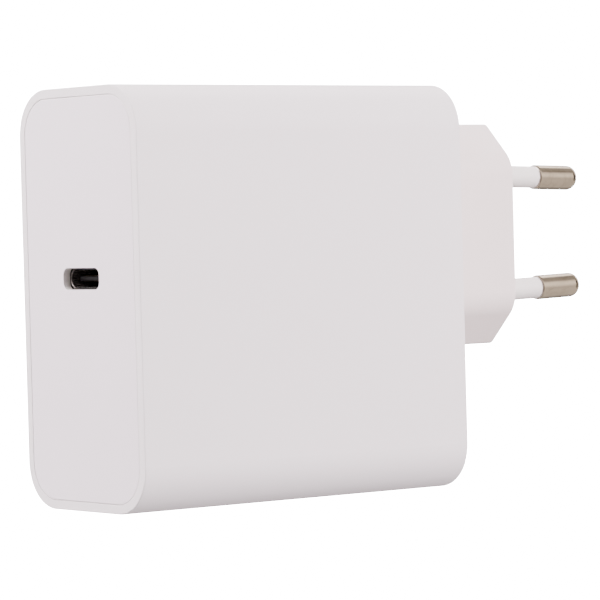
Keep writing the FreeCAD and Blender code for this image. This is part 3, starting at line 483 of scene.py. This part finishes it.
def set_camera():
    """Camera at the photograph's place: yaw about Z, then pitch, then roll about the line of
    sight."""
    data = bpy.data.cameras.new("camera")
    data.sensor_width = SENSOR_MILLIMETRES
    data.lens = FOCAL_PIXELS * SENSOR_MILLIMETRES / PHOTO_PIXELS
    data.clip_start = CAMERA_NEAR
    data.clip_end = CAMERA_FAR
    camera = bpy.data.objects.new("camera", data)
    bpy.context.scene.collection.objects.link(camera)
    yaw, pitch, roll = (math.radians(turn) for turn in (CAMERA_YAW, CAMERA_PITCH, CAMERA_ROLL))
    forward = Vector((-math.sin(yaw) * math.cos(pitch), math.cos(yaw) * math.cos(pitch),
                      math.sin(pitch)))
    level = Vector((math.cos(yaw), math.sin(yaw), 0))
    below = forward.cross(level)
    right = math.cos(roll) * level + math.sin(roll) * below
    down = -math.sin(roll) * level + math.cos(roll) * below
    turn = Matrix((right, -down, -forward)).transposed()
    place = Vector(CAMERA_FROM_PORT) + Vector((cad_box[0].x, 0, 0))
    camera.matrix_world = Matrix.Translation(place) @ turn.to_4x4()
    bpy.context.scene.camera = camera


def set_world():
    """Soft light from all round, weaker or stronger in patches, and a white background."""
    world = bpy.data.worlds.new("studio")
    bpy.context.scene.world = world
    world.use_nodes = True
    tree = world.node_tree
    ambient = tree.nodes["Background"]
    output = tree.nodes["World Output"]

    direction = add_node(tree, "TexCoord").outputs["Generated"]
    height = add_node(tree, "SeparateXYZ", Vector=direction).outputs["Z"]
    position = add_node(tree, "MapRange", _0=height, _1=-1.0).outputs[0]
    curve = add_node(tree, "ValToRGB", Fac=position)
    strongest = max(light for _, light in SKY)
    fill_ramp(curve, [((math.sin(math.radians(angle)) + 1) / 2, tint(SKY_TINT, light / strongest))
                      for angle, light in SKY])

    strength = strongest
    for middle, outer, inner, factor in FLAGS:
        toward = add_node(tree, "VectorMath", _0=direction, _1=Vector(middle).normalized())
        toward.operation = "DOT_PRODUCT"
        patch = add_node(tree, "MapRange", _0=toward.outputs["Value"],
                         _1=math.cos(math.radians(outer)), _2=math.cos(math.radians(inner)),
                         _3=1.0, _4=factor)
        patch.interpolation_type = "SMOOTHSTEP"
        product = add_node(tree, "Math", _0=patch.outputs[0], _1=strength)
        product.operation = "MULTIPLY"
        strength = product.outputs[0]
    set_inputs(tree, ambient, {"Color": curve.outputs["Color"], "Strength": strength})

    seen = add_node(tree, "LightPath").outputs["Is Camera Ray"]
    backdrop = add_node(tree, "Background", Strength=BACKDROP_LIGHT)
    mix = add_node(tree, "MixShader", _0=seen, _1=ambient.outputs[0], _2=backdrop.outputs[0])
    tree.links.new(mix.outputs[0], output.inputs["Surface"])


def lay_floor():
    """Pale glowing floor that the object neither mirrors nor takes light from."""
    mesh = bpy.data.meshes.new("floor")
    form = bmesh.new()
    bmesh.ops.create_circle(form, cap_ends=True, radius=FLOOR_RADIUS, segments=FLOOR_SEGMENTS)
    form.to_mesh(mesh)
    form.free()
    floor = bpy.data.objects.new("floor", mesh)
    floor.location = (0, 0, cad_box[0].z - FLOOR_GAP)
    bpy.context.scene.collection.objects.link(floor)
    paper = Look("floor_paper", Roughness=0.9, Emission_Color=(1, 1, 1),
                 Emission_Strength=FLOOR_LIGHT)
    paper.bump(paper.noise(900, detail=4, rough=0.6), 2e-5, strength=0.3)
    shades = paper.ramp(paper.noise(40), [(0.3, PAPER_DARK), (0.7, PAPER_LIGHT)])
    mesh.materials.append(paper.finish(shades))
    floor.visible_diffuse = False
    floor.visible_glossy = False


def softbox(name, place, size, glow, mirrored=True):
    """A rectangular area light of a given brightness that looks at the middle of the object."""
    data = bpy.data.lights.new(name, "AREA")
    data.shape = "RECTANGLE"
    data.size, data.size_y = size
    data.energy = glow * math.pi * size[0] * size[1]
    data.color = SOFTBOX_TINT
    light = bpy.data.objects.new(name, data)
    light.visible_camera = False
    light.visible_glossy = mirrored
    light.location = place
    aim = SOFTBOX_AIM - Vector(place)
    light.rotation_euler = aim.to_track_quat("-Z", "Y").to_euler()
    bpy.context.scene.collection.objects.link(light)


def set_lights():
    """Five softboxes. Those that aren't mirrored leave no reflection on the object."""
    softbox("front_softbox", (0.185, -0.385, 0.140), size=(0.34, 0.22), glow=14.5, mirrored=False)
    softbox("high_softbox", (0.12, -0.60, 0.70), size=(0.5, 0.5), glow=10.6, mirrored=False)
    softbox("left_softbox", (-0.32, 0.12, 0.26), size=(0.28, 0.28), glow=15.5)
    softbox("top_softbox", (0.48, 0.24, 0.66), size=(0.34, 0.34), glow=3.0)
    softbox("back_softbox", (-0.20, 1.25, 0.45), size=(0.9, 0.8), glow=5.0)


def wear(material, *names):
    """Gives nodes a material."""
    for name in names:
        slots = nodes[name].data.materials
        slots.clear()
        slots.append(material)


def dress_outside():
    """What the photograph shows: case, plate, foot, pins, and the receptacle in the outlet."""
    wear(moulded("case_plastic", CASE_WHITE), "main_shell")
    wear(moulded("plate_plastic", PLATE_WHITE, rough=(0.30, 0.38), grain=6500, depth=2e-6,
                 edge=0.8e-4, mouth=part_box("port_plate")[0].x), "port_plate")
    wear(moulded("foot_plastic", FOOT_WHITE, rough=(0.36, 0.46)), "plug_foot")
    wear(moulded("sleeve_plastic", SLEEVE_WHITE, rough=(0.30, 0.40), grain=7000, depth=2e-6,
                 edge=1.2e-4, waves=8e-6), "sleeve_upper", "sleeve_lower")
    wear(nickel("pin_nickel"), "pin_upper", "pin_lower")
    wear(sheet_metal("socket_steel", SOCKET_STEEL, rough=(0.18, 0.30), metal=0.85,
                     mouth=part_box("usb_shell")[0].x), "usb_shell")
    wear(black_plastic("socket_black", SOCKET_BLACK, gloss=0.12), "usb_block")
    wear(sheet_metal("contact_gold", CONTACT_GOLD, rough=(0.35, 0.50)),
         "usb_contacts_upper", "usb_contacts_lower")


def dress_inside():
    """What the case hides: contact strips, heat plates, boards and their components."""
    wear(sheet_metal("strip_brass", BRASS), "contact_strip_upper", "contact_strip_lower")
    wear(sheet_metal("rolled_aluminium", ALUMINIUM), "heat_plate", "heat_sink", "output_sink")
    wear(sheet_metal("screw_steel", SCREW_STEEL, along=(1, 1, 1)), "sink_screw")
    wear(ferrite("ferrite_grey"), "ferrite_lower", "ferrite_upper", "choke_core")
    wear(black_plastic("bobbin_black", BOBBIN_BLACK), "bobbin", "choke_base")
    wear(tape("tape_yellow", TAPE_YELLOW), "winding_tape")
    wear(tape("film_clear", FILM_CLEAR, clear=0.35), "plate_sheet", "solder_sheet")
    wear(soft_pad("pad_grey", PAD_GREY), "thermal_pad")
    wear(solder_mask("main_mask", thick_axis="Y"), "main_board")
    wear(solder_mask("port_mask", thick_axis="Z"), "port_board")
    wear(wound("winding_wire", WINDING_COPPER, WINDING_PITCH, axis="Z"), "winding")
    for side in ("upper", "lower"):
        wear(wound("choke_wire_" + side, CHOKE_COPPER, CHOKE_PITCH, axis="Y"),
             "choke_winding_" + side)
    for name in ("bridge_rectifier", "transistor", "output_rectifier"):
        wear(package(name + "_epoxy", leads_of=name), name)
    for name in ("port_chip", "optocoupler", "control_chip"):
        wear(package(name + "_epoxy"), name)
    wear(package("filter_box", FILM_BOX_YELLOW), "filter_capacitor")
    wear(package("fuse_box", FUSE_BLACK), "fuse")
    wear(dipped("varistor_lacquer", "varistor", VARISTOR_BLUE), "varistor")
    wear(dipped("thermistor_lacquer", "thermistor", THERMISTOR_GREEN), "thermistor")
    wear(dipped("safety_lacquer", "safety_capacitor", SAFETY_BLUE), "safety_capacitor")
    for start, colour in (("bulk_capacitor", BULK_SLEEVE), ("output_capacitor", OUTPUT_SLEEVE)):
        for name in nodes:
            if name.startswith(start):
                wear(can_finish(name + "_sleeve", name, colour), name)


set_camera()
set_world()
lay_floor()
set_lights()
dress_outside()
dress_inside()
bare = [name for name, node in nodes.items() if not node.data.materials or not node.data.materials[0]]
if bare:
    raise RuntimeError(f"no material on {bare}")
